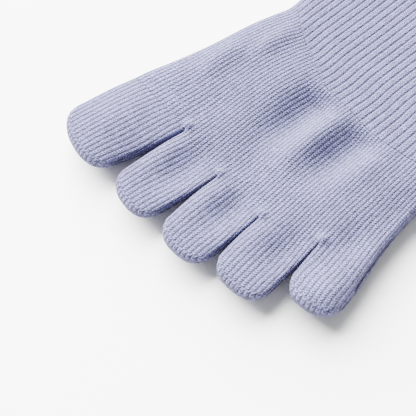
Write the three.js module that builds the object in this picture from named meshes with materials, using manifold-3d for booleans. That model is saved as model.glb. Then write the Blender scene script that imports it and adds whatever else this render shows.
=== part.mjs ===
import * as THREE from 'three';
import Module from 'manifold-3d';
import { LoftGeometry } from 'three/addons/geometries/LoftGeometry.js';
import { mergeVertices } from 'three/addons/utils/BufferGeometryUtils.js';

const wasm = await Module();
wasm.setup();

// A knitted toe sock for a left foot, lying on its sole with its heel pouch under the ankle.
// Millimetres. +X runs across the foot from the big toe to the little toe, +Y along the sock
// from the toes to the cuff, and +Z up from the surface that the sock lies on.
// Y = 0 is the crotch between the big toe and the second toe.

// Widths of the sock lying flat
const toeRowWidth = 107;
const ballWidth = 97;
const bandWidth = 82;
const ankleWidth = 84;
const heelWidth = 74;
const legWidth = 85;
const cuffWidth = 81;
const slitWidth = 2.4;

// Lengths of the knitted sections
const toeLength = 30.4;
const forefootLength = 44.5;
const bandLength = 66;
const ankleLength = 76;
const heelLength = 54;
const legLength = 84;
const cuffLength = 27;

// Thicknesses of the sock lying flat, of its knit and of the webs between the toes
const toeHeight = 9.8;
const footHeight = 12;
const ankleHeight = 11.5;
const heelHeight = 9.5;
const legHeight = 11.5;
const wall = 1.6;
const webDepth = 3.6;
const dentDepth = 2.6;

// Ribs of the elastic band and of the cuff
const bandRibPitch = 2.15;
const bandRibDepth = 0.45;
const cuffRibPitch = 3.2;
const cuffRibDepth = 0.7;

// Clearances: between two sections, and in the crease between the heel pouch and the ankle
const gap = 0.3;
const creaseGap = 0.6;

// The sections' ends along the sock
const bandStart = forefootLength;
const ankleStart = bandStart + bandLength;
const legStart = ankleStart + ankleLength;
const cuffStart = legStart + legLength;
const mouth = cuffStart + cuffLength;

// Form of a section: how square it is, how high its widest line lies as a share of its height,
// and how far its underside is pressed flat against the surface
const squareness = 2.9;
const widestLine = 0.42;
const pressed = 1.25;
const outlineSteps = 240;

// Where the ankle tube stops lying on the heel pouch, as a share of the ankle's length
const raisedTo = 0.81;

// The tube: along is a share of its section's length, width of its section's flat width and
// shift of the ball's width. The underside's lift is a share of the height of the heel pouch with
// its crease, low and high are shares of the tube's thickness, and follow says how far the ring
// follows the line of the toe crotches.
const tubeRow = (along, width, shift, lift, low, high, follow) => (
  { along, width, shift, lift, low, high, follow }
);
const tubeZones = [
  {
    start: 0, length: forefootLength, width: ballWidth, height: footHeight,
    rows: [
      tubeRow(0.00, 0.950, -0.004, 0, 0.12, 0.66, 1.0),
      tubeRow(0.05, 0.985, -0.004, 0, 0.03, 0.82, 1.0),
      tubeRow(0.13, 1.005, -0.004, 0, 0.00, 0.91, 0.9),
      tubeRow(0.25, 1.002, -0.005, 0, 0.00, 0.97, 0.6),
      tubeRow(0.42, 0.974, -0.005, 0, 0.00, 1.00, 0.3),
      tubeRow(0.58, 0.947, -0.005, 0, 0.00, 1.03, 0.0),
      tubeRow(0.74, 0.921, -0.004, 0, 0.00, 1.04, 0.0),
      tubeRow(0.88, 0.902, -0.002, 0, 0.00, 1.03, 0.0),
    ],
  },
  {
    start: bandStart, length: bandLength, width: bandWidth, height: footHeight,
    rows: [
      tubeRow(0.00, 1.050, 0.000, 0, 0.00, 1.00, 0.0),
      tubeRow(0.08, 1.030, 0.004, 0, 0.00, 0.98, 0.0),
      tubeRow(0.20, 1.000, 0.010, 0, 0.00, 0.97, 0.0),
      tubeRow(0.94, 1.000, 0.004, 0, 0.00, 0.98, 0.0),
    ],
  },
  {
    start: ankleStart, length: ankleLength, width: ankleWidth, height: ankleHeight,
    rows: [
      tubeRow(0.06, 1.000, 0, 0.00, 0.00, 1.02, 0.0),
      tubeRow(0.14, 1.005, 0, 0.12, 0.00, 1.05, 0.0),
      tubeRow(0.24, 1.010, 0, 0.48, 0.00, 1.06, 0.0),
      tubeRow(0.33, 1.012, 0, 0.88, 0.00, 1.06, 0.0),
      tubeRow(0.40, 1.012, 0, 1.00, 0.00, 1.05, 0.0),
      tubeRow(raisedTo, 1.010, 0, 1.00, 0.00, 1.03, 0.0),
      tubeRow(0.89, 1.008, 0, 0.86, 0.00, 1.02, 0.0),
      tubeRow(0.97, 1.006, 0, 0.50, 0.00, 1.02, 0.0),
    ],
  },
  {
    start: legStart, length: legLength, width: legWidth, height: legHeight,
    rows: [
      tubeRow(0.05, 1.000, 0, 0.16, 0.00, 1.02, 0.0),
      tubeRow(0.13, 1.000, 0, 0.00, 0.00, 1.02, 0.0),
      tubeRow(0.50, 1.006, 0, 0.00, 0.00, 1.03, 0.0),
      tubeRow(0.93, 1.000, 0, 0.00, 0.00, 1.00, 0.0),
    ],
  },
  {
    start: cuffStart, length: cuffLength, width: cuffWidth, height: legHeight,
    rows: [
      tubeRow(0.04, 1.010, 0, 0.00, 0.00, 0.98, 0.0),
      tubeRow(0.30, 1.000, 0, 0.00, 0.00, 0.97, 0.0),
      tubeRow(1.00, 1.004, 0, 0.00, 0.00, 0.97, 0.0),
    ],
  },
];

// The heel pouch: along is a share of its length, width of its flat width, and low and high are
// shares of its thickness
const heelRow = (along, width, low, high) => ({ along, width, low, high });
const heelRows = [
  heelRow(0.00, 0.90, 0.00, 0.72),
  heelRow(0.14, 0.97, 0.00, 0.88),
  heelRow(0.32, 1.00, 0.00, 1.00),
  heelRow(0.55, 0.99, 0.00, 1.00),
  heelRow(0.72, 0.93, 0.00, 1.00),
  heelRow(0.84, 0.81, 0.00, 0.97),
  heelRow(0.93, 0.63, 0.04, 0.88),
  heelRow(0.98, 0.44, 0.10, 0.76),
  heelRow(1.00, 0.28, 0.18, 0.64),
];

// The gore line on the side of the foot: where it leaves the sole and where it reaches the crease
// above the heel pouch, as shares of the ankle's length, and its height at the sole, as a share of
// the pouch's thickness
const goreFrom = 0.06;
const goreTo = 0.345;
const goreRise = 0.12;

// The toes, from the big toe to the little one: width is a share of the row without its slits,
// reach is how far the tip lies in front of the crotch line and crotch how far in front of that
// line the crotch beyond the toe lies, both as shares of the toes' length, slit is a share of the
// slits' width and height of the toes' thickness
const toeRow = (name, width, reach, crotch, slit, height) => (
  { name, width, reach, crotch, slit, height }
);
const toeRows = [
  toeRow('toe_big', 0.269, 0.997, 0.000, 1.00, 1.06),
  toeRow('toe_second', 0.196, 1.000, 0.090, 1.00, 1.00),
  toeRow('toe_third', 0.186, 0.957, 0.077, 0.55, 1.00),
  toeRow('toe_fourth', 0.188, 0.793, -0.188, 0.45, 0.98),
  toeRow('toe_little', 0.161, 0.375, -0.290, 0.00, 0.94),
];
const outerCrotch = 0.02;

// The toes fan out a little: at the crotches the slits lie at this share of their place at the
// tips, the row's two outer edges at another, and behind them all edges draw in further. The slits
// close over a share of the toes' length. A toe leans outwards over the first share of its length.
// Its pocket starts a share of the toes' length behind its crotches. Its tip is a superellipse in
// plan, and there the underside lifts and the upper side drops by shares of the toe's height.
const toeFan = 0.915;
const outerFan = 0.95;
const rootFan = 0.06;
const slitTaper = 0.2;
const toeLean = 0.5;
const toeRootDepth = 0.3;
const toeRowShift = -0.002;
const toeTipPower = 2.4;
const toeTipSteps = [0.03, 0.11, 0.28, 0.58, 1];
const tipLift = { share: 0.2, power: 6 };
const tipDrop = { share: 0.5, power: 3 };
const slitSteps = [0, 0.3, 0.6];

// The two dents in front of the band: place and breadth across are shares of the ball's width,
// and from and full, where the dent begins and reaches its depth, are shares of the forefoot
const dentRow = (place, breadth, from, full, depth) => ({ place, breadth, from, full, depth });
const dentRows = [
  dentRow(-0.065, 0.062, 0.36, 0.86, 1.00),
  dentRow(0.135, 0.062, 0.36, 0.82, 0.95),
];

// How far in front of the band's line the dents begin to end, and how far behind it they are gone,
// as shares of the forefoot
const dentEndBefore = 0.03;
const dentEndBehind = 0.10;

// The line where the band begins: across is a share of the ball's width, and along of the
// forefoot's length
const bandLineRows = [
  { across: -0.62, along: 1.34 },
  { across: -0.42, along: 1.31 },
  { across: -0.33, along: 1.20 },
  { across: -0.25, along: 1.13 },
  { across: -0.15, along: 1.04 },
  { across: -0.04, along: 0.985 },
  { across: 0.14, along: 0.965 },
  { across: 0.31, along: 1.01 },
  { across: 0.42, along: 1.10 },
  { across: 0.62, along: 1.14 },
];

// Points round the rings of the outer and the inner surfaces
const tubePoints = 44;
const tubeLiningPoints = 24;
const heelPoints = 26;
const toePoints = 20;
const toeLiningPoints = 12;

const clamp = THREE.MathUtils.clamp;
const lerp = THREE.MathUtils.lerp;
const smoothstep = THREE.MathUtils.smoothstep;

// Height of the line between the heel pouch and the ankle
const creaseLift = heelHeight + creaseGap;

// The toes with their edges at the tips and their crotches, worked out along the row
function layOutToes() {
  const slits = toeRows.reduce((sum, row) => sum + row.slit, 0) * slitWidth;
  const shares = toeRows.reduce((sum, row) => sum + row.width, 0);
  let left = toeRowWidth * (toeRowShift - 0.5);
  let crotchBefore = outerCrotch;
  let slitBefore = 0;
  return toeRows.map((row) => {
    const right = left + row.width / shares * (toeRowWidth - slits);
    const rootY = -(crotchBefore + row.crotch) / 2 * toeLength;
    const toe = {
      name: row.name,
      left,
      right,
      rootY,
      backY: -Math.min(crotchBefore, row.crotch) * toeLength + toeRootDepth * toeLength,
      tipY: -row.reach * toeLength,
      crotchY: -row.crotch * toeLength,
      height: row.height * toeHeight,
      leftSlit: slitBefore,
      rightSlit: row.slit,
    };
    left = right + row.slit * slitWidth;
    crotchBefore = row.crotch;
    slitBefore = row.slit;
    return toe;
  });
}
const toes = layOutToes();

// A toe's edge at y: it leans outwards over the first half of the toe
function toeEdge(toe, edge, y) {
  const outermost = edge === toes[0].left || edge === toes.at(-1).right;
  const lean = clamp(1 - (toe.rootY - y) / (toeLean * (toe.rootY - toe.tipY)), 0, 1);
  const drawnIn = clamp((y - toe.rootY) / (toe.backY - toe.rootY), 0, 1);
  return edge * (lerp(1, outermost ? outerFan : toeFan, lean) - rootFan * drawnIn);
}

// The line of the toe crotches across the foot, and its place at any x
const side = toeRowWidth;
const crotchLine = [
  new THREE.Vector2(-side, -outerCrotch * toeLength),
  ...toes.slice(0, -1).map((toe, index) => {
    const y = toe.crotchY;
    const x = (toeEdge(toe, toe.right, y) + toeEdge(toes[index + 1], toes[index + 1].left, y)) / 2;
    return new THREE.Vector2(x, y);
  }),
  new THREE.Vector2(toes.at(-1).right, toes.at(-1).crotchY),
  new THREE.Vector2(side, toes.at(-1).crotchY),
];

function heightOfLine(line, x) {
  const next = line.findIndex((point) => point.x >= x);
  const index = next < 1 ? 1 : next;
  const from = line[index - 1];
  const to = line[index];
  return lerp(from.y, to.y, clamp((x - from.x) / (to.x - from.x), 0, 1));
}

const bandLine = bandLineRows.map((row) => (
  new THREE.Vector2(row.across * ballWidth, row.along * forefootLength)
));

// Depth of the dents at a place on the upper side
function dentAt(x, y) {
  return dentRows.reduce((sum, dent) => {
    const across = (x - dent.place * ballWidth) / (dent.breadth * ballWidth);
    const along = smoothstep(y, dent.from * forefootLength, dent.full * forefootLength);
    const end = heightOfLine(bandLine, x);
    const ends = [end - dentEndBefore * forefootLength, end + dentEndBehind * forefootLength];
    const fade = 1 - smoothstep(y, ends[0], ends[1]);
    return sum + dent.depth * dentDepth * Math.exp(-across * across) * along * fade;
  }, 0);
}

// All rings of the tube in one list from the crotches to the mouth
const tubeSections = tubeZones.flatMap((zone) => zone.rows.map((row) => ({
  y: zone.start + row.along * zone.length,
  follow: row.follow,
  centre: row.shift * ballWidth,
  width: row.width * zone.width,
  bottom: row.lift * creaseLift + row.low * zone.height,
  top: row.lift * creaseLift + row.high * zone.height,
})));

// The tube's section at any place along it
function tubeSectionAt(y) {
  const next = tubeSections.findIndex((section) => section.y >= y);
  const index = next < 1 ? 1 : next;
  const from = tubeSections[index - 1];
  const to = tubeSections[index];
  const share = clamp((y - from.y) / (to.y - from.y), 0, 1);
  return {
    y,
    follow: lerp(from.follow, to.follow, share),
    centre: lerp(from.centre, to.centre, share),
    width: lerp(from.width, to.width, share),
    bottom: lerp(from.bottom, to.bottom, share),
    top: lerp(from.top, to.top, share),
  };
}

// The section as the lining of the tube has it, one wall further in
function inset(section, depth) {
  return {
    ...section,
    width: section.width - 2 * depth,
    bottom: section.bottom + depth,
    top: section.top - depth,
  };
}

// A ring of points round a section, evenly spaced: a superellipse with its underside pressed flat
function ring(section, count) {
  const { centre, width, bottom, top, y } = section;
  const middle = lerp(bottom, top, widestLine);
  const outline = [];
  for (let i = 0; i < outlineSteps; i++) {
    const angle = i / outlineSteps * 2 * Math.PI;
    const across = -Math.sign(Math.cos(angle)) * Math.abs(Math.cos(angle)) ** (2 / squareness);
    const up = Math.sign(Math.sin(angle)) * Math.abs(Math.sin(angle)) ** (2 / squareness);
    const reach = up > 0 ? top - middle : (middle - bottom) * pressed;
    const z = Math.max(middle + up * reach, bottom);
    outline.push(new THREE.Vector2(centre + across * width / 2, z));
  }
  const path = new THREE.Path(outline);
  path.closePath();
  return path.getSpacedPoints(count).slice(0, count).map((p) => new THREE.Vector3(p.x, y, p.y));
}

// The same ring on the tube: it follows the crotch line, and its upper side takes the dents
function tubeRing(section, count) {
  const points = ring(section, count);
  points.forEach((point) => {
    const upper = smoothstep(point.z, lerp(section.bottom, section.top, 0.5), section.top);
    point.z -= dentAt(point.x, section.y) * upper;
    point.y += section.follow * heightOfLine(crotchLine, point.x);
  });
  return points;
}

// A ribbed ring: every second point is drawn in by the rib's depth
function ribbedRing(section, count, depth) {
  const points = tubeRing(section, count);
  return points.map((point, index) => {
    if (index % 2 === 0) return point;
    const before = points[index - 1];
    const after = points[(index + 1) % count];
    const along = new THREE.Vector3().subVectors(after, before);
    const inward = new THREE.Vector3(along.z, 0, -along.x).normalize();
    return point.clone().addScaledVector(inward, depth);
  });
}

// A closed solid from a geometry
function solid(geometry) {
  const bare = new THREE.BufferGeometry();
  bare.setAttribute('position', geometry.attributes.position);
  bare.setIndex(geometry.index);
  const merged = mergeVertices(bare, 1e-5);
  return new wasm.Manifold(new wasm.Mesh({
    numProp: 3,
    vertProperties: new Float32Array(merged.attributes.position.array),
    triVerts: new Uint32Array(merged.index.array),
  }));
}

// A closed loft. Its end rings can be bent, so each is closed with a strip between its upper and
// its lower side, two triangles a step.
function loft(rings) {
  const geometry = new LoftGeometry(rings);
  const count = rings[0].length;
  const faces = Array.from(geometry.index.array);
  const close = (start, order) => {
    for (let step = 0; step < count / 2; step++) {
      const quad = [step, step + 1, count - step - 1, count - step].map((k) => start + k % count);
      const halves = [[quad[0], quad[1], quad[2]], [quad[0], quad[2], quad[3]]];
      halves.filter((face) => new Set(face).size === 3)
        .forEach((face) => faces.push(...order.map((corner) => face[corner])));
    }
  };
  close(0, [0, 2, 1]);
  close((rings.length - 1) * (count + 1), [0, 1, 2]);
  geometry.setIndex(faces);
  return solid(geometry);
}

function joined(solids) {
  return solids.reduce((all, one) => all.add(one));
}

// An upright prism over an outline in plan
const prismHeight = 4 * (footHeight + creaseLift);
function prism(points) {
  const geometry = new THREE.ExtrudeGeometry(new THREE.Shape(points), {
    depth: prismHeight,
    bevelEnabled: false,
  });
  geometry.translate(0, 0, -prismHeight / 4);
  return solid(geometry);
}

// The space between two lines across the sock, half a gap clear of both
function between(low, high) {
  const front = low.map((point) => new THREE.Vector2(point.x, point.y + gap / 2));
  const back = high.map((point) => new THREE.Vector2(point.x, point.y - gap / 2));
  return prism([...front, ...back.reverse()]);
}

function straightLine(y) {
  return [new THREE.Vector2(-side, y), new THREE.Vector2(side, y)];
}

// The tube's outer body and its hollow, which starts behind the webs between the toes and runs
// out of the mouth
const tubeBody = loft(tubeSections.map((section) => tubeRing(section, tubePoints)));
const hollowStart = tubeSectionAt(webDepth);
const hollowEnd = { ...tubeSectionAt(mouth), y: mouth + wall };
const hollowSections = [
  hollowStart,
  ...tubeSections.filter((section) => section.y > webDepth + wall && section.y < mouth),
  hollowEnd,
];
const tubeHollow = loft(hollowSections.map((section) => (
  tubeRing(inset(section, wall), tubeLiningPoints)
)));

// The heel pouch, which ends as far behind the ankle's start as the ankle tube stays raised
const heelBack = ankleStart + raisedTo * ankleLength;
function heelLoft(depth) {
  const length = heelLength - depth;
  return loft(heelRows.map((row) => {
    const section = {
      y: heelBack - heelLength + row.along * length,
      centre: 0,
      width: row.width * heelWidth,
      bottom: row.low * heelHeight,
      top: row.high * heelHeight,
    };
    return ring(inset(section, depth), heelPoints);
  }));
}

// A toe pocket, lofted from its tip to its root inside the forefoot
function toeLoft(toe, depth, count) {
  const halfWidth = (toe.right - toe.left) / 2;
  const tip = toeTipSteps.map((step) => ({
    y: toe.tipY + depth + step * halfWidth,
    width: (1 - (1 - step) ** toeTipPower) ** (1 / toeTipPower),
    low: tipLift.share * (1 - step) ** tipLift.power,
    high: 1 - tipDrop.share * (1 - step) ** tipDrop.power,
  }));
  const root = [toe.rootY - slitTaper * toeLength, toe.rootY, toe.backY]
    .map((y) => ({ y, width: 1, low: 0, high: 1 }));
  const rows = [...tip, ...root.filter((row) => row.y > tip.at(-1).y)];
  return loft(rows.map((row) => {
    const slit = slitWidth / 2 * smoothstep(row.y, toe.rootY - slitTaper * toeLength, toe.rootY);
    const left = toeEdge(toe, toe.left, row.y) + depth - slit * toe.leftSlit;
    const right = toeEdge(toe, toe.right, row.y) - depth + slit * toe.rightSlit;
    const height = toe.height - 2 * depth;
    return ring({
      y: row.y,
      centre: (left + right) / 2,
      width: (right - left) * row.width,
      bottom: depth + row.low * height,
      top: depth + row.high * height,
    }, count);
  }));
}

const heelBody = heelLoft(0);
const toeBodies = toes.map((toe) => toeLoft(toe, 0, toePoints));
const hollow = joined([
  tubeHollow,
  heelLoft(wall),
  ...toes.map((toe) => toeLoft(toe, wall, toeLiningPoints)),
]);

// The middle of the slit between two toes, from its crotch to well past the tips, and its two
// sides, half a gap away
function slitLine(index, offset) {
  const toe = toes[index];
  const next = toes[index + 1];
  const places = slitSteps.map((share) => lerp(toe.crotchY, toe.tipY, share));
  return [...places, -2 * toeLength].map((y) => {
    const x = (toeEdge(toe, toe.right, y) + toeEdge(next, next.left, y)) / 2;
    return new THREE.Vector2(x + offset, y);
  });
}

// The space of one toe: in front of the crotch line, between the slits on its two sides
function toeSpace(index) {
  const outside = (x) => (
    [heightOfLine(crotchLine, x), -2 * toeLength].map((y) => new THREE.Vector2(x, y))
  );
  const last = toes.length - 1;
  const leftSide = index === 0 ? outside(-side) : slitLine(index - 1, gap / 2);
  const rightSide = index === last ? outside(side) : slitLine(index, -gap / 2);
  const back = crotchLine.filter((point) => point.x > leftSide[0].x && point.x < rightSide[0].x);
  return prism([...leftSide.reverse(), ...back, ...rightSide]).translate([0, -gap / 2, 0]);
}

// The heel's space, seen from the side: below the gore line, which climbs from the sole to the
// crease, and below the crease
function heelSpace(spare) {
  const foldY = ankleStart + goreTo * ankleLength;
  const goreY = ankleStart + goreFrom * ankleLength;
  const crease = heelHeight + creaseGap / 2 + spare;
  const behind = heelBack + creaseGap / 2;
  const shape = new THREE.Shape([
    new THREE.Vector2(goreY - spare, -heelHeight),
    new THREE.Vector2(behind, -heelHeight),
    new THREE.Vector2(behind, crease),
    new THREE.Vector2(foldY - spare, crease),
    new THREE.Vector2(goreY - spare, heelHeight * goreRise),
  ]);
  const geometry = new THREE.ExtrudeGeometry(shape, { depth: 2 * side, bevelEnabled: false });
  geometry.applyMatrix4(new THREE.Matrix4().makeBasis(
    new THREE.Vector3(0, 1, 0),
    new THREE.Vector3(0, 0, 1),
    new THREE.Vector3(1, 0, 0),
  ));
  geometry.translate(-side, 0, 0);
  return solid(geometry);
}

// A ribbed tube for a section between two places, whose rings keep a few rib pitches from its ends.
// The way round a flat ring is a little less than the way round the box that holds it.
const ringRoundness = 0.95;
const ringSpacing = 3;
function ribbedTube(from, to, pitch, depth) {
  const [low, high] = [from + ringSpacing * pitch, to - ringSpacing * pitch];
  const middle = tubeSectionAt((from + to) / 2);
  const around = 2 * (middle.width + middle.top - middle.bottom) * ringRoundness;
  const ribs = Math.round(around / pitch);
  const inside = tubeSections.filter((section) => section.y > low && section.y < high);
  const sections = [tubeSectionAt(from), ...inside, tubeSectionAt(to)];
  return loft(sections.map((section) => ribbedRing(section, 2 * ribs, depth)));
}

const bandFront = Math.min(...bandLine.map((point) => point.y)) - 2 * gap;
const bandBody = ribbedTube(bandFront, ankleStart, bandRibPitch, bandRibDepth);
const cuffBody = ribbedTube(cuffStart, mouth, cuffRibPitch, cuffRibDepth);

// The knitted sections
const footBody = joined([tubeBody, ...toeBodies]);
const backBody = tubeBody.add(heelBody).subtract(hollow);
const sections = {
  forefoot: footBody.subtract(hollow).intersect(between(crotchLine, bandLine)),
  arch_band: bandBody.subtract(hollow).intersect(between(bandLine, straightLine(ankleStart))),
  ankle: backBody.intersect(between(straightLine(ankleStart), straightLine(legStart)))
    .subtract(heelSpace(gap / 2)),
  heel: backBody.intersect(between(straightLine(ankleStart), straightLine(legStart)))
    .intersect(heelSpace(-gap / 2)),
  leg: backBody.intersect(between(straightLine(legStart), straightLine(cuffStart))),
  cuff: cuffBody.subtract(hollow)
    .intersect(between(straightLine(cuffStart), straightLine(mouth + gap))),
};
toes.forEach((toe, index) => {
  sections[toe.name] = toeBodies[index].subtract(hollow).intersect(toeSpace(index));
});

// Cotton knit colours: the plain knit, the darker ribbed band and the paler toes
const knitColours = {
  forefoot: 0xb9bbd6,
  arch_band: 0xb3b5d0,
  ankle: 0xb9bbd6,
  heel: 0xb6b8d3,
  leg: 0xb9bbd6,
  cuff: 0xb3b5d0,
};
const toeColour = 0xbcbeda;

function knitMesh(name, body) {
  const mesh = body.getMesh();
  const geometry = new THREE.BufferGeometry();
  geometry.setAttribute('position', new THREE.BufferAttribute(mesh.vertProperties, 3));
  geometry.setIndex(new THREE.BufferAttribute(mesh.triVerts, 1));
  const material = new THREE.MeshStandardMaterial({
    color: knitColours[name] ?? toeColour,
    roughness: 0.95,
    metalness: 0,
  });
  const knit = new THREE.Mesh(geometry, material);
  knit.name = name;
  return knit;
}

// The sock stands at the middle of its own underside
const sock = new THREE.Group();
Object.entries(sections).forEach(([name, body]) => sock.add(knitMesh(name, body)));
const box = new THREE.Box3().setFromObject(sock);
const middle = box.getCenter(new THREE.Vector3());
sock.position.set(-middle.x, -middle.y, -box.min.z);

const part = new THREE.Group();
part.add(sock);

export default part;
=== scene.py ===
import bmesh
import bpy
import numpy as np
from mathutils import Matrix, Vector


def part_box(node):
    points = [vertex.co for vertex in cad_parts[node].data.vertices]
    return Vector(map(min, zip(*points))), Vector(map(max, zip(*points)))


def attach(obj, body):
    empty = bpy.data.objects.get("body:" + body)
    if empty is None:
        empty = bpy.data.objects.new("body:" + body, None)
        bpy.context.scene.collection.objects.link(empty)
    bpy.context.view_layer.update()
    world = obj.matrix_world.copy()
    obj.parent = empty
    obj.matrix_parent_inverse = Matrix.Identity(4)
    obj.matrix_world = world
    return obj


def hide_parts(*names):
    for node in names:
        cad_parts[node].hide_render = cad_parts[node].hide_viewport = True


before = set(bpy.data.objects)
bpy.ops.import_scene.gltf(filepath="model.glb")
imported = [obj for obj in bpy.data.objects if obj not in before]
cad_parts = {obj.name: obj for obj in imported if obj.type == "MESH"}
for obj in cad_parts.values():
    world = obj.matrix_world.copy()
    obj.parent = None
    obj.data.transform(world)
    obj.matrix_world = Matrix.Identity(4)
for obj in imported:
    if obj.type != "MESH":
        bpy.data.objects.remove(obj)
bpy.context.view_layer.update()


# The five toe pockets. Each is a small tube of plain cotton knit, started at the tip, where its
# front and back are linked with a row of loops. Its wales run on into the forefoot, apart from two
# on each side that end in the crotch beside the toe.

# All shapes are worked out in millimetres in the foot's own frame: x across the foot from its
# middle line, y from the crotch of the big toe towards the leg, z up from the floor.
# The leg's solid begins half a gap behind its own line, which places the frame.
LEG_START = 186.5
SECTION_GAP = 0.3
leg_box = np.array([list(corner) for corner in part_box("leg")]) * 1000
FOOT_ORIGIN = np.array([leg_box[:, 0].mean(), leg_box[0, 1] - LEG_START - SECTION_GAP / 2, 0.0])

# The knit: the wales on each side of the foot, the wales that each side of a toe has more, the
# steps of the mesh for each wale, the height of a course, and the thickness of the wall
FOOT_WALES = 76
SIDE_WALES = 2
STEPS_PER_WALE = 6
COURSE = 0.86
KNIT_WALL = 1.3
# A wale's relief, and the power that flattens its top
RIB_RELIEF = 0.21
RIB_POWER = 3.0

# The lying tube: its thickness at the toes and behind them, and the height of its widest line as a
# share of it
TOE_HEIGHT = 10.2
FOOT_HEIGHT = 12.0
WIDEST_LINE = 0.42
# From each fold the cloth rises in a tight curve and a soft one: their reaches, the tight one's
# share of the rise, and the power of both. The floor presses the under side flat a little sooner.
TIGHT_FOLD = 1.1
SOFT_FOLD = 8.0
TIGHT_SHARE = 0.56
FOLD_POWER = 2.2
PRESSED = 1.25
# The under side of the toes leans in from the fold: its reach, its power, and the stretch before
# the big toe's crotch over which that sets in
LEAN_FOLD = 8.0
LEAN_POWER = 1.15
LEANS_BETWEEN = (-5, 4)
# The share of its rise from which the cloth swells and dips freely
FREE_FROM = 0.5

# One row for each toe: its wales on the upper side, the crotch or fold on its left and right, the
# places where its rounded tip starts on the left and right, the depth of the tip and its power,
# and how far its left and right side bulge
TOES = [
    dict(name="toe_big", wales=20, root=((-49.5, 0.0), (-22.4, -0.9)),
         corners=((-52.2, -19.0), (-28.0, -23.4)), depth=9.5, power=2.45, bulge=(0.1, 0.5)),
    dict(name="toe_second", wales=14, root=((-22.4, -0.9), (-3.1, -3.6)),
         corners=((-24.1, -21.3), (-5.3, -22.6)), depth=8.9, power=2.5, bulge=(0.3, 0.3)),
    dict(name="toe_third", wales=14, root=((-3.1, -3.6), (16.0, -3.2)),
         corners=((-2.5, -21.3), (16.0, -19.7)), depth=8.7, power=2.5, bulge=(0.3, 0.2)),
    dict(name="toe_fourth", wales=14, root=((16.0, -3.2), (34.3, 4.8)),
         corners=((17.2, -17.1), (35.8, -14.2)), depth=8.3, power=2.5, bulge=(0.2, 0.1)),
    dict(name="toe_little", wales=14, root=((34.3, 4.8), (51.8, 4.0)),
         corners=((36.1, -5.7), (52.8, -0.9)), depth=8.1, power=2.5, bulge=(0.1, 0.1)),
]

# The sock's left and right folds in plan, and the height of its upper side
FOLD_STATIONS = [
    dict(y=0.0, left=-49.5, right=52.1, top=10.2),
    dict(y=4.0, left=-48.6, right=51.6, top=10.8),
    dict(y=12.0, left=-46.2, right=49.5, top=11.6),
    dict(y=20.0, left=-44.2, right=47.4, top=12.0),
    dict(y=28.0, left=-42.6, right=45.9, top=12.3),
    dict(y=36.0, left=-41.5, right=44.8, top=12.5),
    dict(y=44.0, left=-40.4, right=44.2, top=12.4),
    dict(y=52.0, left=-38.7, right=43.2, top=12.2),
    dict(y=57.5, left=-37.5, right=42.4, top=12.1),
    dict(y=64.0, left=-38.1, right=41.7, top=11.9),
    dict(y=80.0, left=-38.9, right=41.8, top=11.7),
    dict(y=110.5, left=-41.0, right=41.6, top=11.8),
    dict(y=124.0, left=-42.3, right=42.4, top=14.5),
    dict(y=135.0, left=-42.6, right=42.6, top=20.5),
    dict(y=142.0, left=-42.5, right=42.5, top=22.1),
    dict(y=171.0, left=-42.5, right=42.5, top=21.9),
    dict(y=178.0, left=-42.4, right=42.4, top=20.4),
    dict(y=190.0, left=-42.5, right=42.5, top=13.2),
    dict(y=198.0, left=-42.5, right=42.5, top=11.8),
    dict(y=230.0, left=-42.8, right=42.8, top=11.9),
    dict(y=264.0, left=-42.5, right=42.5, top=11.5),
    dict(y=271.5, left=-40.9, right=40.9, top=11.3),
    dict(y=279.0, left=-40.5, right=40.5, top=11.2),
    dict(y=297.5, left=-40.7, right=40.7, top=11.2),
]


def through(places, values, at):
    """A smooth line through stations: on each stretch the cubic that has the stations' values and,
    at them, slopes that are the mean of the two neighbouring stretches' slopes, or level where the
    line turns back."""
    places, values = np.array(places, float), np.array(values, float)
    steps = np.diff(values) / np.diff(places)
    slopes = np.concatenate([steps[:1], (steps[1:] + steps[:-1]) / 2, steps[-1:]])
    slopes[1:-1][steps[1:] * steps[:-1] <= 0] = 0
    at = np.clip(at, places[0], places[-1])
    k = np.clip(np.searchsorted(places, at) - 1, 0, len(places) - 2)
    span = places[k + 1] - places[k]
    t = (at - places[k]) / span
    return (values[k] * (1 + 2 * t) * (1 - t) ** 2 + slopes[k] * span * t * (1 - t) ** 2
            + values[k + 1] * t ** 2 * (3 - 2 * t) + slopes[k + 1] * span * t ** 2 * (t - 1))


def station_line(column, at):
    return through([row["y"] for row in FOLD_STATIONS], [row[column] for row in FOLD_STATIONS], at)


def smooth(low, high, at):
    t = np.clip((at - low) / (high - low), 0, 1)
    return t * t * (3 - 2 * t)


def fold_height(distance, radius, power=FOLD_POWER):
    """The upper quarter of a superellipse: how far a folded knit has risen at a distance from its
    fold, as a share of its full rise."""
    near = np.clip(1 - distance / radius, 0, 1)
    return (1 - near ** power) ** (1 / power)


def rise_from(distance):
    """The fold's rise, part tight and part soft, as a share of the half thickness."""
    return (TIGHT_SHARE * fold_height(distance, TIGHT_FOLD)
            + (1 - TIGHT_SHARE) * fold_height(distance, SOFT_FOLD))


def fall_from(distance, y):
    """The same for the under side. At the toes it leans in from the fold, so their edges lie clear
    of the floor."""
    leaning = smooth(*LEANS_BETWEEN, -y)
    upright, leant = rise_from(distance), fold_height(distance, LEAN_FOLD, LEAN_POWER)
    return (1 - leaning) * upright + leaning * leant


# Points at which the fold's curve is measured
CURVE_POINTS = 400


def spread(count, width):
    """Places across a flat tube, as shares of its width, whose points are evenly spaced along its
    curved upper side: the inverse of the running length of the fold's own curve."""
    inward = width / 2 * np.linspace(0, 1, CURVE_POINTS) ** 2
    rise = FOOT_HEIGHT * (1 - WIDEST_LINE) * rise_from(inward)
    length = np.concatenate([[0], np.cumsum(np.hypot(np.diff(inward), np.diff(rise)))])
    even = np.linspace(0, 2, count + 1)
    half = np.interp(np.minimum(even, 2 - even), length / length[-1], inward) / width
    return np.where(even <= 1, half, 1 - half)


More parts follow.
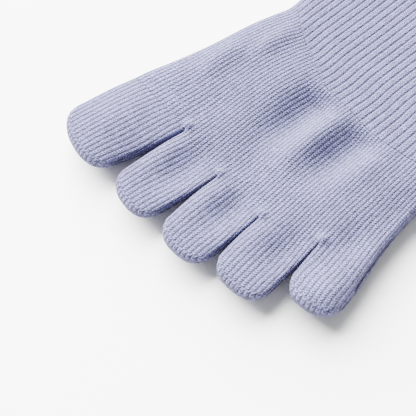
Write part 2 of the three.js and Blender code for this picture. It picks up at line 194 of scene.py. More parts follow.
def toe_tip(toe, across):
    """A toe's rounded end in plan: half a superellipse from its left corner to its right one, at
    right angles to the line between them."""
    left, right = (np.array(corner) for corner in toe["corners"])
    share = (across[..., None] + 1) / 2
    out = np.array([right[1] - left[1], left[0] - right[0]]) / np.hypot(*(right - left))
    reach = (1 - np.abs(across) ** toe["power"]) ** (1 / toe["power"])
    return left + share * (right - left) + reach[..., None] * toe["depth"] * out


def toe_plan(toe, across, along):
    """A toe in plan: each column is a straight line from the root line (along 0) to the tip
    (along 1), and the columns at the two sides bulge out by a sine."""
    root_left, root_right = (np.array(point) for point in toe["root"])
    root = root_left + (across[..., None] + 1) / 2 * (root_right - root_left)
    tip = toe_tip(toe, across)
    side = np.sin(np.pi * np.clip(along, 0, 1))[..., None] * np.abs(across[..., None]) ** 3
    left, right = (np.array(corner) for corner in toe["corners"])
    sideways = (right - left) / np.hypot(*(right - left))
    bulge = np.where(across < 0, -toe["bulge"][0], toe["bulge"][1])[..., None] * side * sideways
    return root + along[..., None] * (tip - root) + bulge


def toe_outline(toe, points=90, side_points=30):
    """A toe's fold in plan: its left side, its rounded end and its right side."""
    ends = np.linspace(0, 1, side_points)
    ones = np.ones_like(ends)
    angle = np.linspace(-np.pi / 2, np.pi / 2, points)
    rounded = toe_tip(toe, np.sin(angle))
    left = toe_plan(toe, -ones, ends)
    right = toe_plan(toe, ones, ends[::-1])
    return np.concatenate([left[:-1], rounded, right[1:]])


# How far back the outline reaches, behind the band's start, and its points on each side
OUTLINE_END = 110.0
OUTLINE_POINTS = 160


def fold_outline():
    """The whole fold in plan as one line: down the left side, round the toes, up the right."""
    back = np.linspace(OUTLINE_END, 0.0, OUTLINE_POINTS)[:-1]
    left = np.stack([station_line("left", back), back], -1)
    right_root = TOES[-1]["root"][1][1]
    ahead = np.linspace(right_root, OUTLINE_END, OUTLINE_POINTS)[1:]
    right = np.stack([station_line("right", ahead), ahead], -1)
    return np.concatenate([left] + [toe_outline(toe) for toe in TOES] + [right])


OUTLINE = fold_outline()
# So near the outline a point's direction turns to the outline's own, and so many points are
# compared with it at a time
TURN_WITHIN = 0.4
AT_A_TIME = 4000


def distance_to_fold(plan):
    """Each point's distance to the nearest stretch of the outline, and the direction from there
    to the point: the point less its own foot on the stretch. On the outline itself the direction
    is the stretch's own left-hand side, which is the inside of the sock."""
    start, step = OUTLINE[:-1], np.diff(OUTLINE, axis=0)
    moved = np.hypot(step[:, 0], step[:, 1]) > 1e-9
    start, step = start[moved], step[moved]
    inside = np.stack([-step[:, 1], step[:, 0]], -1) / np.hypot(step[:, 0], step[:, 1])[:, None]
    flat = plan.reshape(-1, 2)
    away, side = np.empty_like(flat), np.empty_like(flat)
    for first in range(0, len(flat), AT_A_TIME):
        points = flat[first:first + AT_A_TIME, None, :] - start[None]
        share = np.clip((points * step).sum(-1) / (step * step).sum(-1), 0, 1)
        gap = points - share[..., None] * step
        best = (gap ** 2).sum(-1).argmin(1)
        away[first:first + AT_A_TIME] = gap[np.arange(len(best)), best]
        side[first:first + AT_A_TIME] = inside[best]
    distance = np.hypot(away[:, 0], away[:, 1])
    near = np.clip(distance / TURN_WITHIN, 0, 1)[:, None]
    inward = side * (1 - near) + near * away / np.maximum(distance, 1e-9)[:, None]
    inward /= np.maximum(np.hypot(inward[:, 0], inward[:, 1]), 1e-9)[:, None]
    return distance.reshape(plan.shape[:-1]), inward.reshape(plan.shape)


# The two dents in front of the band: place and breadth across, where each begins and where it is
# at its full depth, and that depth
DENTS = [
    dict(x=-3.2, breadth=5.8, start=6.0, full=32.0, depth=4.5),
    dict(x=15.8, breadth=5.4, start=9.0, full=32.0, depth=3.9),
]
# How far in front of the band's start a dent begins to end, and how far behind it is gone
DENT_END = (-6.4, 0.4)

# The soft lie of the upper side: low swells and hollows of the resting cloth, each with its place,
# its breadth across and along, and its height
SWELLS = [
    dict(x=-34.5, y=26.0, across=4.5, along=9.0, height=1.8),
    dict(x=-28.6, y=43.0, across=3.6, along=9.0, height=1.5),
    dict(x=-39.0, y=-14.0, across=8.0, along=12.0, height=2.0),
    dict(x=-24.0, y=20.0, across=15.0, along=26.0, height=1.3),
    dict(x=-19.5, y=-10.0, across=3.5, along=9.0, height=0.7),
    dict(x=1.2, y=-9.0, across=4.0, along=9.0, height=0.9),
    dict(x=20.8, y=-6.0, across=4.0, along=9.0, height=0.9),
    dict(x=-23.0, y=12.0, across=6.0, along=9.0, height=-0.8),
    dict(x=-12.0, y=-9.0, across=5.0, along=10.0, height=-2.1),
    dict(x=8.4, y=-8.5, across=4.5, along=9.0, height=-1.8),
    dict(x=29.4, y=-4.5, across=4.0, along=9.0, height=-1.3),
    dict(x=47.5, y=-3.0, across=6.0, along=8.0, height=1.5),
    dict(x=40.3, y=12.0, across=5.0, along=8.0, height=-1.5),
    dict(x=0.0, y=7.0, across=8.0, along=8.0, height=-1.2),
    dict(x=7.0, y=28.0, across=4.0, along=12.0, height=1.8),
    dict(x=25.5, y=33.0, across=4.0, along=10.0, height=0.9),
    dict(x=42.0, y=30.0, across=6.0, along=13.0, height=-1.8),
]


# Where the band begins: the share of the way across the foot, and y there
BAND_STATIONS = [(0, 58.5), (0.06, 57.5), (0.11, 54.5), (0.19, 51.0), (0.30, 47.6), (0.42, 43.6),
                 (0.50, 43.6), (0.66, 43.0), (0.84, 45.2), (1.0, 50.0)]


def band_line(share):
    shares, places = zip(*BAND_STATIONS)
    return through(shares, places, share)


def dent_depth(x, y):
    """The sum of the dents, each a bell across, which sets in and ends smoothly along the foot."""
    left, right = station_line("left", y), station_line("right", y)
    end = band_line(np.clip((x - left) / (right - left), 0, 1))
    total = np.zeros_like(x)
    for dent in DENTS:
        across = np.exp(-((x - dent["x"]) / dent["breadth"]) ** 2)
        fade = 1 - smooth(end + DENT_END[0], end + DENT_END[1], y)
        total = total + dent["depth"] * across * smooth(dent["start"], dent["full"], y) * fade
    return total


def swell_height(x, y):
    """The sum of all swells, each a round bell: e to the power of minus the squared distance."""
    total = np.zeros_like(x)
    for swell in SWELLS:
        squared = (((x - swell["x"]) / swell["across"]) ** 2
                   + ((y - swell["y"]) / swell["along"]) ** 2)
        total = total + swell["height"] * np.exp(-squared)
    return total


def lie_of_cloth(plan, rise):
    """How the resting cloth swells and dips, away from its folds."""
    x, y = plan[..., 0], plan[..., 1]
    return (swell_height(x, y) - dent_depth(x, y)) * smooth(FREE_FROM, 1, rise)


# The height of the widest line at the tips, and of the line where the sides of two toes touch near
# their crotch, as shares of the toe's height, the stretch before the crotch over which the first
# is reached, and how far from the crotch they touch
TIP_LINE = 0.64
TIP_LINE_BETWEEN = (-2, 9)
CREASE_LINE = 0.86
CREASE_REACH = 12.5

# A few tight stitches close the end of each crotch: their rise, radius and place behind it
KNOT_RISE = 1.1
KNOT_RADIUS = 1.6
KNOT_BEHIND = 2.1


def widest_share(plan):
    """The height of the widest line as a share of the whole: raised at the toes' tips, and more
    near each crotch, where the sides of two toes lie against each other, by a round bell."""
    base = WIDEST_LINE + (TIP_LINE - WIDEST_LINE) * smooth(*TIP_LINE_BETWEEN, -plan[..., 1])
    near = np.zeros(plan.shape[:-1])
    for toe in TOES[1:]:
        away = plan - np.array(toe["root"][0])
        near = np.maximum(near, np.exp(-(away ** 2).sum(-1) / CREASE_REACH ** 2))
    return base + (CREASE_LINE - base) * near


def knot_height(plan):
    """The knots behind the crotches, each a round bell."""
    total = np.zeros(plan.shape[:-1])
    for toe in TOES[1:]:
        away = plan - np.array(toe["root"][0]) - (0, KNOT_BEHIND)
        total = total + KNOT_RISE * np.exp(-(away ** 2).sum(-1) / KNOT_RADIUS ** 2)
    return total


def sheet_heights(plan, distance, upper):
    """The height of the upper or the lower side: from the widest line it rises, or falls to the
    floor, by the fold's own curve."""
    y = plan[..., 1]
    top = np.where(y < 0, TOE_HEIGHT, station_line("top", y))
    middle = widest_share(plan) * np.minimum(top, FOOT_HEIGHT)
    rise = rise_from(distance)
    high = middle + (top - middle) * rise + lie_of_cloth(plan, rise) + knot_height(plan)
    low = middle * (1 - np.minimum(1, PRESSED * fall_from(distance, y)))
    return np.where(upper, high, low)


def fold_normals(above, below, distance, inward, upper):
    """Outward normals of the upper or lower side, with the rise above and the fall below the
    widest line: the slope of the fold's curve along the way in from the fold, and straight up or
    down where the side lies flat."""
    small = 0.02
    rise = (rise_from(distance + small) - rise_from(distance)) / small
    flat = PRESSED * rise_from(distance) < 1
    slope = np.where(upper, above * rise, PRESSED * below * rise * flat)
    normal = np.dstack([-slope[..., None] * inward, np.full(slope.shape, 1.0 if upper else -1.0)])
    return normal / np.linalg.norm(normal, axis=-1, keepdims=True)


def foot_normals(plan, distance, inward):
    """The normals of the upper and the lower side of the foot and its toes."""
    top = np.where(plan[..., 1] < 0, TOE_HEIGHT, station_line("top", plan[..., 1]))
    below = widest_share(plan) * np.minimum(top, FOOT_HEIGHT)
    return (fold_normals(top - below, below, distance, inward, True),
            fold_normals(top - below, below, distance, inward, False))


def rib_height(wale):
    """One wale from groove to groove: a flat-topped ridge, 1 - |2f - 1| to a power."""
    share = wale - np.floor(wale)
    return 1 - np.abs(2 * share - 1) ** RIB_POWER


def wale_relief(wale):
    """The relief of plain knit above and below the cloth's own middle."""
    return RIB_RELIEF * (rib_height(wale) - 0.5)


def knit_object(name, outer, lining, wales, courses, closed_start):
    """A knitted piece as one closed mesh: the outer ring grid, its lining, and a rim at each open
    end with one face a wale. Its map holds the wale and the course of every corner."""
    rows, cols = outer.shape[:2]
    in_rows, in_cols = lining.shape[:2]
    points = np.concatenate([outer.reshape(-1, 3), lining.reshape(-1, 3)])
    points[:, 2] = np.maximum(points[:, 2], 0)
    points = (points + FOOT_ORIGIN) / 1000

    def quads(rows, cols, offset):
        r, c = np.meshgrid(np.arange(rows - 1), np.arange(cols), indexing="ij")
        after = (c + 1) % cols
        here, above = r * cols, (r + 1) * cols
        grid = np.stack([here + c, here + after, above + after, above + c], -1)
        return grid.reshape(-1, 4) + offset

    def quad_map(rows, cols, wale, course):
        r, c = np.meshgrid(np.arange(rows - 1), np.arange(cols), indexing="ij")
        u = np.append(wale, wale[-1] + (wale[-1] - wale[-2]))
        u = np.stack([u[c], u[c + 1], u[c + 1], u[c]], -1)
        after = (c + 1) % cols
        v = np.stack([course[r, c], course[r, after], course[r + 1, after], course[r + 1, c]], -1)
        return np.stack([u, v], -1).reshape(-1, 2)

    step = cols // in_cols
    row_step = np.round(np.linspace(0, rows - 1, in_rows)).astype(int)
    outer_faces = quads(rows, cols, 0)
    lining_faces = quads(in_rows, in_cols, rows * cols)[:, ::-1]
    lining_map = quad_map(in_rows, in_cols, wales[::step], courses[row_step][:, ::step])
    lining_map = lining_map.reshape(-1, 4, 2)[:, ::-1].reshape(-1, 2)
    rims = []
    for row, in_row, turned in ((0, 0, True), (rows - 1, in_rows - 1, False)):
        if row == 0 and closed_start:
            continue
        k = np.arange(in_cols)
        edge = row * cols + (k[:, None] * step + np.arange(step + 1)) % cols
        inner = rows * cols + in_row * in_cols + np.stack([(k + 1) % in_cols, k], -1)
        rim = np.concatenate([edge, inner], -1)
        rims.append(rim[:, ::-1] if turned else rim)
    rim_faces = np.concatenate(rims)
    sizes = np.concatenate([np.full(len(outer_faces) + len(lining_faces), 4),
                            np.full(len(rim_faces), rim_faces.shape[1])])
    corners = np.concatenate([outer_faces.ravel(), lining_faces.ravel(), rim_faces.ravel()])
    mesh = bpy.data.meshes.new(name)
    mesh.vertices.add(len(points))
    mesh.vertices.foreach_set("co", points.ravel())
    mesh.loops.add(len(corners))
    mesh.loops.foreach_set("vertex_index", corners.astype(np.int32))
    mesh.polygons.add(len(sizes))
    starts = np.concatenate([[0], np.cumsum(sizes)[:-1]])
    mesh.polygons.foreach_set("loop_start", starts.astype(np.int32))
    mesh.polygons.foreach_set("use_smooth", np.arange(len(sizes)) < len(sizes) - len(rim_faces))
    mesh.update(calc_edges=True)
    knit_map = mesh.uv_layers.new(name="wales_and_courses")
    flat_map = np.zeros((len(corners), 2))
    outer_map = quad_map(rows, cols, wales, courses)
    flat_map[:len(outer_map)] = outer_map
    flat_map[len(outer_map):len(outer_map) + len(lining_map)] = lining_map
    knit_map.data.foreach_set("uv", flat_map.ravel())
    welded = bmesh.new()
    welded.from_mesh(mesh)
    bmesh.ops.remove_doubles(welded, verts=welded.verts, dist=1e-6)
    welded.to_mesh(mesh)
    welded.free()
    mesh.validate()
    piece = bpy.data.objects.new(name, mesh)
    bpy.context.collection.objects.link(piece)
    return piece


def linear(hex_colour):
    """An sRGB hex colour as linear red, green, blue and alpha."""
    srgb = np.array([int(hex_colour[k:k + 2], 16) for k in (1, 3, 5)]) / 255
    return tuple(np.where(srgb <= 0.04045, srgb / 12.92, ((srgb + 0.055) / 1.055) ** 2.4)) + (1.0,)


def add_node(tree, kind, inputs=None, **settings):
    """One shader node. An input is a value, a socket, or a node that gives its first output."""
    node = tree.nodes.new(kind)
    for key, value in settings.items():
        setattr(node, key, value)
    for key, value in (inputs or {}).items():
        if isinstance(value, bpy.types.Node):
            value = value.outputs[0]
        if isinstance(value, bpy.types.NodeSocket):
            tree.links.new(value, node.inputs[key])
        else:
            node.inputs[key].default_value = value
    return node


# The yarn's own noises, in cycles a metre: flecks as thick as one strand (0.43 mm), stitches that
# stray over a stitch and a half (1.25 mm), and the slow change of shade along the cloth (11 mm)
FLECKS = 2300.0
STRAYING = 800.0
SHADING = 90.0


def cotton_knit(name, yarn, groove_shade, wales_per_rib=1, inner_groove=0.12, seam_courses=0.0):
    """Combed cotton with a little elastane, plain knitted: matt, with light flecks, and with painted
    shade that darkens the grooves between the wales and the gaps between stitches. Every wale is a
    chain of V-shaped stitches, two legs that lean towards each other. The yarn is heathered, so each
    leg has its own shade. In a seam at the start, some courses long, the loops lie half a wale aside.
    Between the wales of one rib the grooves are shallower, and their painted shade is lighter."""
    material = bpy.data.materials.new(name)
    material.use_nodes = True
    tree = material.node_tree
    tree.nodes.clear()
    math, ramp, noise = "ShaderNodeMath", "ShaderNodeMapRange", "ShaderNodeTexNoise"
    knit_map = add_node(tree, "ShaderNodeUVMap", uv_map="wales_and_courses")
    split = add_node(tree, "ShaderNodeSeparateXYZ", {0: knit_map})
    place = add_node(tree, "ShaderNodeTexCoord").outputs["Object"]
    fleck = add_node(tree, noise, {"Vector": place, "Scale": FLECKS, "Detail": 2.0})
    shade = add_node(tree, noise, {"Vector": place, "Scale": SHADING, "Detail": 2.0})
    stray = add_node(tree, noise, {"Vector": place, "Scale": STRAYING, "Detail": 1.0})

    # The wale and the course of the point, both a little astray
    wale = add_node(tree, math, {0: stray, 1: 0.30, 2: split.outputs[0]}, operation="MULTIPLY_ADD")
    wale = add_node(tree, math, {0: wale, 1: 0.15}, operation="SUBTRACT")
    course = add_node(tree, math, {0: stray, 1: 0.7, 2: split.outputs[1]}, operation="MULTIPLY_ADD")
    if seam_courses > 0:
        in_seam = add_node(tree, math, {0: split.outputs[1], 1: seam_courses}, operation="LESS_THAN")
        wale = add_node(tree, math, {0: in_seam, 1: 0.5, 2: wale}, operation="MULTIPLY_ADD")

    # How far the point is from the groove, and how far along its leaning leg of the stitch
    middle = add_node(tree, math, {0: wale, 1: 0.5}, operation="PINGPONG")
    lean = add_node(tree, math, {0: middle, 1: 1.3, 2: course}, operation="MULTIPLY_ADD")
    leg = add_node(tree, math, {0: lean, 1: 0.5}, operation="PINGPONG")

    # A random shade for each leg of each stitch
    side = add_node(tree, math, {0: wale, 1: 2.0}, operation="MULTIPLY")
    side = add_node(tree, math, {0: side}, operation="FLOOR")
    stitch = add_node(tree, math, {0: lean}, operation="FLOOR")
    own_place = add_node(tree, "ShaderNodeCombineXYZ", {0: side, 1: stitch})
    own_shade = add_node(tree, "ShaderNodeTexWhiteNoise", {"Vector": own_place}, noise_dimensions="2D")

    # The height of the yarn: low in the grooves and between two stitches. It shapes the bump and the
    # painted shade below
    ridge = add_node(tree, ramp, {"Value": middle, "From Min": 0.02, "From Max": 0.30,
                                  "To Min": inner_groove, "To Max": 1.0},
                     interpolation_type="SMOOTHSTEP")
    loop = add_node(tree, ramp, {"Value": leg, "From Min": 0.05, "From Max": 0.40,
                                 "To Min": 0.05, "To Max": 1.0}, interpolation_type="SMOOTHSTEP")
    height = add_node(tree, math, {0: ridge, 1: loop}, operation="MULTIPLY")
    if wales_per_rib > 1:
        rib = add_node(tree, math, {0: wale, 1: wales_per_rib / 2}, operation="PINGPONG")
        rib = add_node(tree, ramp, {"Value": rib, "From Min": 0.0, "From Max": 0.5,
                                    "To Min": 0.42, "To Max": 1.0}, interpolation_type="SMOOTHSTEP")
        height = add_node(tree, math, {0: height, 1: rib}, operation="MULTIPLY")

    # Light yarn where it is high, with flecks, and painted shade where it is low, in the grooves and
    # between stitches
    tone = add_node(tree, math, {0: own_shade, 1: 0.45, 2: height}, operation="MULTIPLY_ADD")
    tone = add_node(tree, math, {0: tone, 1: 1.69}, operation="SUBTRACT")
    tone = add_node(tree, math, {0: fleck, 1: 2.7, 2: tone}, operation="MULTIPLY_ADD")
    # The dark colour mixed in here is painted shade for the grooves, not a second yarn
    colour = add_node(tree, "ShaderNodeMix", {0: tone, 6: linear(groove_shade), 7: linear(yarn)},
                      data_type="RGBA", clamp_factor=True)
    soft = add_node(tree, ramp, {"Value": shade, "From Min": 0.3, "From Max": 0.7,
                                 "To Min": 0.95, "To Max": 1.05}, interpolation_type="SMOOTHSTEP")
    shaded = add_node(tree, "ShaderNodeVectorMath", {0: colour.outputs[2], "Scale": soft},
                      operation="SCALE")
    bump = add_node(tree, "ShaderNodeBump", {"Height": tone, "Distance": 0.00035, "Strength": 0.8})
    surface = add_node(tree, "ShaderNodeBsdfPrincipled",
                       {"Base Color": shaded, "Roughness": 0.95, "Normal": bump,
                        "Sheen Weight": 0.08, "Sheen Roughness": 0.6, "Specular IOR Level": 0.1})
    add_node(tree, "ShaderNodeOutputMaterial", {0: surface})
    return material


# The pale violet yarn on top of the knit, and the painted shade deep in its grooves, which is the same
# yarn made darker. Both are darker than they look, because the picture's tone curve brightens them.
YARN = "#7371a6"
GROOVE_SHADE = "#454459"
SEAM_COURSES = 1.9
toe_knit = cotton_knit("cotton_plain_knit_toes", YARN, GROOVE_SHADE, seam_courses=SEAM_COURSES)


def as_piece(piece, node, material):
    piece.data.materials.append(material)
    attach(piece, "root")
    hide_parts(node)
    return piece


def ring_of(upper, lower):
    """The upper side from left to right, then the lower side from right to left, as one ring."""
    return np.concatenate([upper[:, :-1], lower[:, :0:-1]], axis=1)


def lining_of(base, normal, rows):
    """The inside of the knit: some rows and one column a wale, set in by the wall's thickness."""
    kept = np.round(np.linspace(0, len(base) - 1, rows)).astype(int)
    return base[kept][:, ::STEPS_PER_WALE] - KNIT_WALL * normal[kept][:, ::STEPS_PER_WALE]


# Rows round the tip's fold, and the step between the rows behind it in courses
TIP_ROWS = 12
ROW_STEP = 0.55
TOE_LINING_ROWS = 14


def toe_rows(length):
    """Shares along a toe, from the tip to the root: close together where the tip folds over and
    about half a course apart behind it."""
    fold = TIGHT_FOLD * (1 - np.cos(np.linspace(0, np.pi / 2, TIP_ROWS)))
    body = np.arange(TIGHT_FOLD, length, ROW_STEP * COURSE)[1:]
    return 1 - np.concatenate([fold, body, [length]]) / length


def fold_spread(count, width, left_fold, right_fold):
    """Places across, as shares: evenly spaced along the cloth, with or without a fold at each
    side. With one fold it is half of a tube of twice the width."""
    if left_fold and right_fold:
        return spread(count, width)
    if left_fold:
        return 2 * spread(2 * count, 2 * width)[:count + 1]
    if right_fold:
        return 1 - 2 * spread(2 * count, 2 * width)[:count + 1][::-1]
    return np.linspace(0, 1, count + 1)


# The seam that links the tip: how far it lies from the edge, its breadth, its rise, and how much
# of each loop sinks in. The wales' relief sets in behind it, between two distances from the tip.
SEAM_INSET = 0.9
SEAM_BREADTH = 0.6
SEAM_RISE = 0.42
SEAM_SINK = 0.4
RELIEF_FROM_TIP = (0.6, 1.8)
# The share of a toe's length, from the root, over which its side wales spread out of the crotch
GATHERED = 0.6


def make_toe(toe, first_wale):
    """The columns are the toe's own wales. At the root they spread over the forefoot's wales, with
    the side wales gathered in the crotch, and towards the tip they are even."""
    outer_left, outer_right = toe is TOES[0], toe is TOES[-1]
    left_extra = 0 if outer_left else SIDE_WALES
    right_extra = 0 if outer_right else SIDE_WALES
    count = (toe["wales"] + left_extra + right_extra) * STEPS_PER_WALE
    width = np.hypot(*(np.array(toe["corners"][1]) - np.array(toe["corners"][0])))
    root_places = fold_spread(toe["wales"] * STEPS_PER_WALE, width, outer_left, outer_right)
    k = np.arange(count + 1) - left_extra * STEPS_PER_WALE
    rooted = 2 * root_places[np.clip(k, 0, len(root_places) - 1)] - 1
    length = np.hypot(*(toe_tip(toe, np.array(0.0)) - np.mean(toe["root"], axis=0)))
    along = toe_rows(length)[:, None] * np.ones(count + 1)
    gathered = smooth(0, GATHERED, along)
    across = gathered * (2 * spread(count, width) - 1) + (1 - gathered) * rooted
    across = np.clip(across, -1, 1)
    plan = toe_plan(toe, across, along)
    distance, inward = distance_to_fold(plan)
    distance[0] = distance[:, 0] = distance[:, -1] = 0
    upper = np.dstack([plan, sheet_heights(plan, distance, True)])
    lower = np.dstack([plan, sheet_heights(plan, distance, False)])
    base = ring_of(upper, lower)
    upper_normal, lower_normal = foot_normals(plan, distance, inward)
    for edge in (np.s_[0], np.s_[:, 0], np.s_[:, -1]):
        outward = np.concatenate([-inward[edge], np.zeros_like(inward[edge][..., :1])], axis=-1)
        upper_normal[edge] = lower_normal[edge] = outward
    normal = ring_of(upper_normal, lower_normal)
    wale = np.arange(base.shape[1]) / STEPS_PER_WALE
    from_tip = (1 - along[:, :1]) * length
    relief = wale_relief(wale) * smooth(*RELIEF_FROM_TIP, from_tip)
    seam = np.exp(-((from_tip - SEAM_INSET) / SEAM_BREADTH) ** 2)
    on_top = np.arange(base.shape[1]) < count
    relief = relief + SEAM_RISE * seam * (rib_height(wale + 0.5) - SEAM_SINK) * on_top
    outer = base + relief[..., None] * normal
    courses = (1 - along) * np.round(length / COURSE)
    return knit_object(toe["name"] + "_knit", outer, lining_of(base, normal, TOE_LINING_ROWS),
                       wale + first_wale - left_extra, ring_of(courses, courses), True)


first = 0
for toe in TOES:
    as_piece(make_toe(toe, first), toe["name"], toe_knit)
    first += toe["wales"]


# The forefoot. A flat tube of the same plain knit over the ball of the foot. Behind each crotch
# a few tight stitches close the gap, and two long dents run up to the band, where the knit tightens.

FORE_ROWS = 84
FORE_LINING_ROWS = 20
FORE_LENGTH = 44.0
# Its rows are a little closer at the toes, and its wales are evenly spread from this share on
FORE_CROWDING = 1.1
EVEN_FROM = 0.7
TUBE_WIDTH = 90.0


def forefoot_columns():
    """The columns' places on the root line: the toes' root lines one after another."""
    places = []
    for toe in TOES:
        count = toe["wales"] * STEPS_PER_WALE
        left, right = (np.array(point) for point in toe["root"])
        width = np.hypot(*(right - left))
        share = fold_spread(count, width, toe is TOES[0], toe is TOES[-1])[:-1, None]
        places.append(left + share * (right - left))
    return np.concatenate(places + [np.array([TOES[-1]["root"][1]])])


plain_knit = cotton_knit("cotton_plain_knit_foot", YARN, GROOVE_SHADE)
columns = FOOT_WALES * STEPS_PER_WALE
EVEN = spread(columns, TUBE_WIDTH)
root = forefoot_columns()
along = np.linspace(0, 1, FORE_ROWS)[:, None] ** FORE_CROWDING * np.ones(columns + 1)
end_line = band_line(EVEN)
y = root[:, 1] + along * (end_line - root[:, 1])
# The pinch of the folds is carried along the band's line, so the wales turn there
pinch_y = y + (end_line[0] - end_line) * (1 - EVEN) * along ** 2
left, right = station_line("left", pinch_y), station_line("right", pinch_y)
left_root = station_line("left", root[:, 1])
right_root = station_line("right", root[:, 1])
rooted = (root[:, 0] - left_root) / (right_root - left_root)
share = rooted + smooth(0, EVEN_FROM, along) * (EVEN - rooted)
share[:, 0], share[:, -1] = 0, 1
plan = np.dstack([left + share * (right - left), y])
plan[0] = root
distance, inward = distance_to_fold(plan)
distance[:, 0] = distance[:, -1] = 0
upper = np.dstack([plan, sheet_heights(plan, distance, True)])
lower = np.dstack([plan, sheet_heights(plan, distance, False)])
base = ring_of(upper, lower)
normal = ring_of(*foot_normals(plan, distance, inward))
wale = np.arange(base.shape[1]) / STEPS_PER_WALE
outer = base + wale_relief(wale)[None, :, None] * normal
courses = along * FORE_LENGTH / COURSE
forefoot = knit_object("forefoot_knit", outer, lining_of(base, normal, FORE_LINING_ROWS),
                       wale, ring_of(courses, courses), False)
as_piece(forefoot, "forefoot", plain_knit)


# The arch band. The same yarn knitted tighter over elastic, in ribs two wales wide that hold the
# arch. It begins on a wavy line behind the dents, where the wales turn and the foot is narrowest.

BAND_END = 110.5
BAND_ROWS = 80
TUBE_LINING_ROWS = 16
# The lying tube's thickness, and the stretch over which it rises onto the heel pouch
TUBE_THICKNESS = 11.9
RAISED_BETWEEN = (112, 140)
# Ribs of two wales: their relief, the share that lies above the cloth's middle, the power that
# flattens their tops, the relief of the wales on them, and how soon they set in
BAND_RELIEF = 0.38
BAND_MIDDLE = 0.65
BAND_POWER = 4
BAND_WALES = 0.05
BAND_SETS_IN = 1.5


def tube_piece(name, start, end, rows, relief_of):
    """A stretch of the tube from one line across it to another."""
    start, end = start + np.zeros(columns + 1), end + np.zeros(columns + 1)
    along = np.linspace(0, 1, rows)[:, None] * np.ones(columns + 1)
    y = start + along * (end - start)
    pinch_y = y + (start[0] - start) * (1 - EVEN) * (1 - along) ** 2
    left, right = station_line("left", pinch_y), station_line("right", pinch_y)
    plan = np.dstack([left + EVEN * (right - left), y])
    left, right = station_line("left", y), station_line("right", y)
    distance = np.maximum(np.minimum(plan[..., 0] - left, right - plan[..., 0]), 0)
    inward = np.dstack([np.where(EVEN < 0.5, 1.0, -1.0) * np.ones_like(y), np.zeros_like(y)])
    top = station_line("top", y)
    bottom = np.maximum(0, top - TUBE_THICKNESS) * smooth(*RAISED_BETWEEN, y)
    middle = bottom + WIDEST_LINE * np.minimum(top - bottom, FOOT_HEIGHT)
    rise = rise_from(distance)
    upper = np.dstack([plan, middle + (top - middle) * rise + lie_of_cloth(plan, rise)])
    lower = np.dstack([plan, bottom + (middle - bottom) * (1 - np.minimum(1, PRESSED * rise))])
    base = ring_of(upper, lower)
    normal = ring_of(fold_normals(top - middle, middle - bottom, distance, inward, True),
                     fold_normals(top - middle, middle - bottom, distance, inward, False))
    wale = np.arange(base.shape[1]) / STEPS_PER_WALE
    ring_y = ring_of(y, y)
    behind = ring_y - ring_y[:1]
    outer = base + relief_of(wale[None], behind)[..., None] * normal
    return knit_object(name, outer, lining_of(base, normal, TUBE_LINING_ROWS), wale,
                       FORE_LENGTH + behind / COURSE, False)


def band_relief(wale, behind):
    """Ribs of two wales each, which set in within a few courses of the band's start."""
    wide = 1 - np.abs(2 * (wale / 2 - np.floor(wale / 2)) - 1) ** BAND_POWER
    ribbed = BAND_RELIEF * (wide - BAND_MIDDLE) + BAND_WALES * (rib_height(wale) - 0.5)
    plain = wale_relief(wale)
    return plain + smooth(0, BAND_SETS_IN, behind) * (ribbed - plain)


band_knit = cotton_knit("cotton_elastic_band_knit", YARN, GROOVE_SHADE, wales_per_rib=2, inner_groove=0.55)
band = tube_piece("arch_band_knit", band_line(EVEN), BAND_END, BAND_ROWS, band_relief)
as_piece(band, "arch_band", band_knit)


# The ankle. Plain knit over the instep and the ankle, in the same tube as the forefoot. It lies on
# the heel pouch that is folded flat under it, so it is raised there.

ANKLE_ROWS = 70


def plain_relief(wale, behind):
    return wale_relief(wale) * np.ones_like(behind)


ankle = tube_piece("ankle_knit", BAND_END, LEG_START, ANKLE_ROWS, plain_relief)
as_piece(ankle, "ankle", plain_knit)


# The leg. The straight plain tube between the ankle and the cuff, lying flat on the floor.

LEG_END = 270.5
LEG_ROWS = 60
leg = tube_piece("leg_knit", LEG_START, LEG_END, LEG_ROWS, plain_relief)
as_piece(leg, "leg", plain_knit)


# The cuff. Elastic rib knit round the mouth that the foot goes into: two wales that stand out and
# two that lie back, all the way to the mouth's edge.

MOUTH = 297.5
CUFF_ROWS = 50
CUFF_RELIEF = 0.35
CUFF_WALES = 0.12
CUFF_RIB_WALES = 4
# How much the wave across a rib is steepened before its tops and bottoms are cut flat
CUFF_STEEPENING = 1.6


def cuff_relief(wale, behind):
    """A cut-off sine wave across each rib, with the single wales on it."""
    wave = np.clip(CUFF_STEEPENING * np.sin(2 * np.pi * wale / CUFF_RIB_WALES), -1, 1)
    return CUFF_RELIEF * wave + CUFF_WALES * (rib_height(wale) - 0.5) * np.ones_like(behind)


cuff_knit = cotton_knit("cotton_ribbed_cuff_knit", YARN, GROOVE_SHADE)
cuff = tube_piece("cuff_knit", LEG_END, MOUTH, CUFF_ROWS, cuff_relief)
as_piece(cuff, "cuff", cuff_knit)


# The heel pouch. A pocket of plain knit, knitted on short rows out of the under side of the tube.
# It lies folded flat on the floor under the ankle, its closed end towards the leg.

HEEL_BACK = 172.06
HEEL_LENGTH = 54.0
HEEL_WIDTH = 74.0
HEEL_HEIGHT = 9.5
HEEL_WIDEST = 0.45
HEEL_ROWS = 62
HEEL_LINING_ROWS = 14
# Its rows are closer at the rounded end
HEEL_CROWDING = 1.6
# Its outline: the share of the length from the open end, and the width there as a share
HEEL_OUTLINE = [(0, 0.9), (0.14, 0.97), (0.32, 1), (0.55, 0.99), (0.72, 0.93), (0.84, 0.81),
                (0.93, 0.63), (0.98, 0.44), (1, 0.02)]


def ring_normals(points):
    """Outward normals of a ring grid: the cross product of the steps round and along it."""
    round_step = np.roll(points, -1, axis=1) - np.roll(points, 1, axis=1)
    along_step = np.gradient(points, axis=0)
    normal = np.cross(round_step, along_step)
    size = np.linalg.norm(normal, axis=-1, keepdims=True)
    return normal / np.maximum(size, 1e-12)


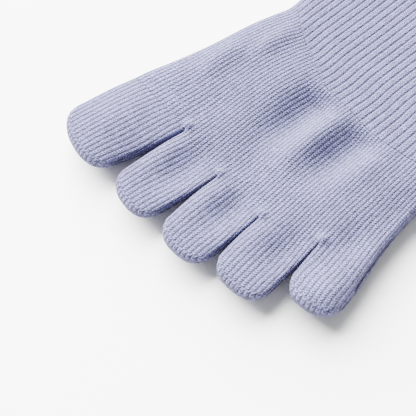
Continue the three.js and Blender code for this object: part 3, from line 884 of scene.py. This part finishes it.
heel_knit = cotton_knit("cotton_plain_knit_heel", YARN, GROOVE_SHADE)
along = 1 - (1 - np.linspace(0, 1, HEEL_ROWS)) ** HEEL_CROWDING
along = along[:, None] * np.ones(columns + 1)
shares, widths = zip(*HEEL_OUTLINE)
half = through(shares, widths, along) * HEEL_WIDTH / 2
y = HEEL_BACK - HEEL_LENGTH + along * HEEL_LENGTH
plan = np.dstack([(2 * EVEN - 1) * half, y])
distance = np.maximum(np.minimum(half - np.abs(plan[..., 0]), HEEL_BACK - y), 0)
rise = rise_from(distance)
middle = HEEL_WIDEST * HEEL_HEIGHT
upper = np.dstack([plan, middle + (HEEL_HEIGHT - middle) * rise])
lower = np.dstack([plan, middle * (1 - np.minimum(1, PRESSED * rise))])
base = ring_of(upper, lower)[::-1, ::-1]
normal = ring_normals(base)
normal[0] = (0, 1, 0)
wale = np.arange(base.shape[1]) / STEPS_PER_WALE
outer = base + wale_relief(wale)[None, :, None] * normal
courses = ring_of(y[::-1], y[::-1]) / COURSE
heel = knit_object("heel_knit", outer, lining_of(base, normal, HEEL_LINING_ROWS), wale, courses, True)
as_piece(heel, "heel", heel_knit)


# The floor, the light and the camera. A matt white studio table under an even white sky, with one
# large soft lamp on the big toe's side, seen from above the toes through a long lens.

FLOOR_SIZE = 6.0
FLOOR_WHITE = "#f7f7f7"
SKY = 0.6
LAMP_SIZE = 3.4
LAMP_POWER = 1570.0
LAMP_DISTANCE = 2.4
TOWARDS_LAMP = (-0.83, 0.20, 0.52)
AZIMUTH, ELEVATION = np.radians(50.25), np.radians(63.0)
LENS = 85.0
CAMERA_DISTANCE = 0.311
# The point that the camera looks at, in the foot's own frame
LOOKED_AT = np.array([-0.1, -9.3, 0.0])

bpy.ops.mesh.primitive_plane_add(size=FLOOR_SIZE)
floor = bpy.context.object
floor.name = "floor"
paper = bpy.data.materials.new("matt_white_paper")
paper.use_nodes = True
paper.node_tree.nodes["Principled BSDF"].inputs["Base Color"].default_value = linear(FLOOR_WHITE)
paper.node_tree.nodes["Principled BSDF"].inputs["Roughness"].default_value = 0.9
floor.data.materials.append(paper)

world = bpy.data.worlds.new("studio")
bpy.context.scene.world = world
world.use_nodes = True
world.node_tree.nodes["Background"].inputs["Color"].default_value = (1, 1, 1, 1)
world.node_tree.nodes["Background"].inputs["Strength"].default_value = SKY

target = Vector(FOOT_ORIGIN + LOOKED_AT) / 1000
key = bpy.data.lights.new("key", "AREA")
key.size = LAMP_SIZE
key.energy = LAMP_POWER
key_light = bpy.data.objects.new("key", key)
towards_key = Vector(TOWARDS_LAMP).normalized()
key_light.location = target + towards_key * LAMP_DISTANCE
key_light.rotation_euler = towards_key.to_track_quat("Z", "Y").to_euler()
bpy.context.collection.objects.link(key_light)

lens = bpy.data.cameras.new("camera")
lens.lens = LENS
lens.sensor_width = 36.0
level = np.cos(ELEVATION)
back = Vector((np.sin(AZIMUTH) * level, -np.cos(AZIMUTH) * level, np.sin(ELEVATION)))
camera = bpy.data.objects.new("camera", lens)
camera.location = target + back * CAMERA_DISTANCE
camera.rotation_euler = back.to_track_quat("Z", "Y").to_euler()
bpy.context.collection.objects.link(camera)
bpy.context.scene.camera = camera
